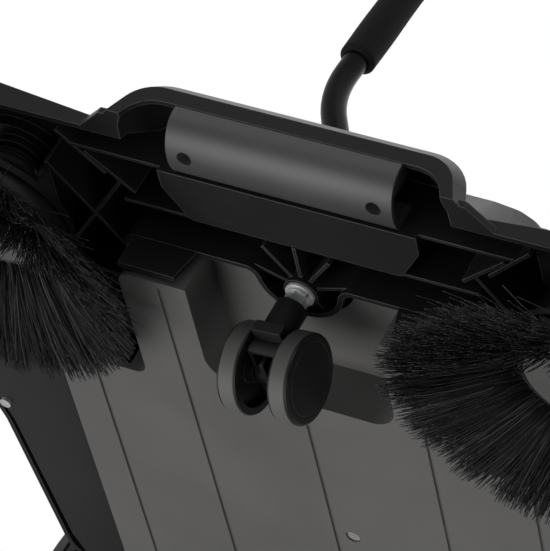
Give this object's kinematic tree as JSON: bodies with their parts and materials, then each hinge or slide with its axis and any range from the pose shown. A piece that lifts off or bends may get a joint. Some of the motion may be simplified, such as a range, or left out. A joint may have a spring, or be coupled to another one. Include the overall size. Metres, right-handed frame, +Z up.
{
  "type": "manual push sweeper",
  "caption": "Hand-pushed floor sweeper with twin belt-driven disc brushes, a lift-out hopper, large rear wheels, a swivel front castor and a fold-over bow handle.",
  "frame": {"origin": "on the floor, in the middle of the object's box at rest", "axes": "+X to the object's left-hand side as seen from the front, +Y from the front to the rear, +Z up"},
  "size_m": [0.5938, 0.736, 1.0058],
  "materials": {
    "housing_black": "fine texture",
    "grip_black": "satin",
    "cover_black": "fine texture, scuffed",
    "lid_black": "fine texture",
    "hopper_grey": "fine texture",
    "hub_grey": "smooth",
    "brush_plate": "plain",
    "bristle": "extruded filament",
    "castor_black": "satin",
    "castor_tread": "matte",
    "zinc": "zinc plated",
    "steel": "ground",
    "pulley": "plain",
    "bush": "sintered",
    "tyre": "matte",
    "rim": "satin",
    "belt": "matte",
    "tube_black": "gloss powder coat",
    "foam": "closed-cell foam",
    "knob_black": "satin"
  },
  "bodies": {
    "chassis": {"housing": "housing_black", "carry_grip": "grip_black", "grip_screws": "zinc", "castor_stem": "zinc", "castor_nut": "zinc", "spring_washer": "zinc", "brush_bush_left": "bush", "brush_bush_right": "bush", "axle_bushes_left": "bush", "axle_bushes_right": "bush", "drive_belt_left": "belt", "drive_belt_right": "belt", "front_guard_left": "housing_black", "front_guard_right": "housing_black", "drive_cover_left": "cover_black", "drive_cover_right": "cover_black", "cover_screws_left": "zinc", "cover_screws_right": "zinc", "hinge_bolt_left": "zinc", "hinge_bolt_right": "zinc"},
    "castor_fork": {"castor_fork": "castor_black", "castor_axle": "zinc"},
    "hopper": {"hopper_tub": "hopper_grey", "hopper_screw": "zinc", "hopper_lid": "lid_black"},
    "bail": {"hopper_bail": "lid_black"},
    "handle": {"handle_tube": "tube_black", "foam_grip_left": "foam", "foam_grip_right": "foam", "handle_end_left": "knob_black", "handle_end_right": "knob_black"},
    "castor_wheel_left": {"castor_wheel_left": "castor_black", "castor_tread_left": "castor_tread"},
    "drive_wheel_left": {"wheel_rim_left": "rim", "wheel_tyre_left": "tyre", "wheel_cap_left": "rim", "wheel_axle_left": "steel", "drive_pulley_left": "pulley"},
    "brush_left": {"brush_bristles_left": "bristle", "brush_backing_left": "brush_plate", "brush_hub_left": "hub_grey", "brush_screw_left": "zinc", "brush_shaft_left": "steel", "brush_pulley_left": "pulley"},
    "knob_left": {"clamp_knob_left": "knob_black"},
    "castor_wheel_right": {"castor_wheel_right": "castor_black", "castor_tread_right": "castor_tread"},
    "drive_wheel_right": {"wheel_rim_right": "rim", "wheel_tyre_right": "tyre", "wheel_cap_right": "rim", "wheel_axle_right": "steel", "drive_pulley_right": "pulley"},
    "brush_right": {"brush_bristles_right": "bristle", "brush_backing_right": "brush_plate", "brush_hub_right": "hub_grey", "brush_screw_right": "zinc", "brush_shaft_right": "steel", "brush_pulley_right": "pulley"},
    "knob_right": {"clamp_knob_right": "knob_black"}
  },
  "joints": [
    {"name": "castor_swivel", "type": "hinge", "parent": "chassis", "child": "castor_fork", "pos_m": [0, -0.24309, 0.05], "axis": [0, 0, 1], "continuous": true},
    {"name": "hopper_lift", "type": "slide", "parent": "chassis", "child": "hopper", "axis": [0, 0, 1], "range_m": [0, 0.32]},
    {"name": "bail_lift", "type": "hinge", "parent": "hopper", "child": "bail", "pos_m": [0, 0.10691, 0.248], "axis": [-1, 0, 0], "range_deg": [0, 95]},
    {"name": "handle_fold", "type": "hinge", "parent": "chassis", "child": "handle", "pos_m": [0, 0.14091, 0.214], "axis": [1, 0, 0], "range_deg": [-37, 80]},
    {"name": "castor_wheel_left_roll", "type": "hinge", "parent": "castor_fork", "child": "castor_wheel_left", "pos_m": [0.00207, -0.22622, 0.025], "axis": [0.9925, -0.1219, 0], "continuous": true},
    {"name": "drive_wheel_left_roll", "type": "hinge", "parent": "chassis", "child": "drive_wheel_left", "pos_m": [-0.258, 0.268, 0.1], "axis": [1, 0, 0], "continuous": true},
    {"name": "brush_left_spin", "type": "hinge", "parent": "chassis", "child": "brush_left", "pos_m": [-0.178, -0.26059, 0.01229], "axis": [0, -0.1045, 0.9945], "continuous": true},
    {"name": "knob_left_turn", "type": "hinge", "parent": "chassis", "child": "knob_left", "pos_m": [-0.24, 0.14091, 0.214], "axis": [1, 0, 0], "range_deg": [-180, 180]},
    {"name": "castor_wheel_right_roll", "type": "hinge", "parent": "castor_fork", "child": "castor_wheel_right", "pos_m": [0.00207, -0.22622, 0.025], "axis": [0.9925, -0.1219, 0], "continuous": true},
    {"name": "drive_wheel_right_roll", "type": "hinge", "parent": "chassis", "child": "drive_wheel_right", "pos_m": [0.258, 0.268, 0.1], "axis": [1, 0, 0], "continuous": true},
    {"name": "brush_right_spin", "type": "hinge", "parent": "chassis", "child": "brush_right", "pos_m": [0.178, -0.26059, 0.01229], "axis": [0, -0.1045, 0.9945], "continuous": true},
    {"name": "knob_right_turn", "type": "hinge", "parent": "chassis", "child": "knob_right", "pos_m": [0.24, 0.14091, 0.214], "axis": [1, 0, 0], "range_deg": [-180, 180]}
  ],
  "couplings": [
    {"joint": "brush_left_spin", "follows": "drive_wheel_left_roll", "ratio": 2},
    {"joint": "brush_right_spin", "follows": "drive_wheel_right_roll", "ratio": -2}
  ]
}
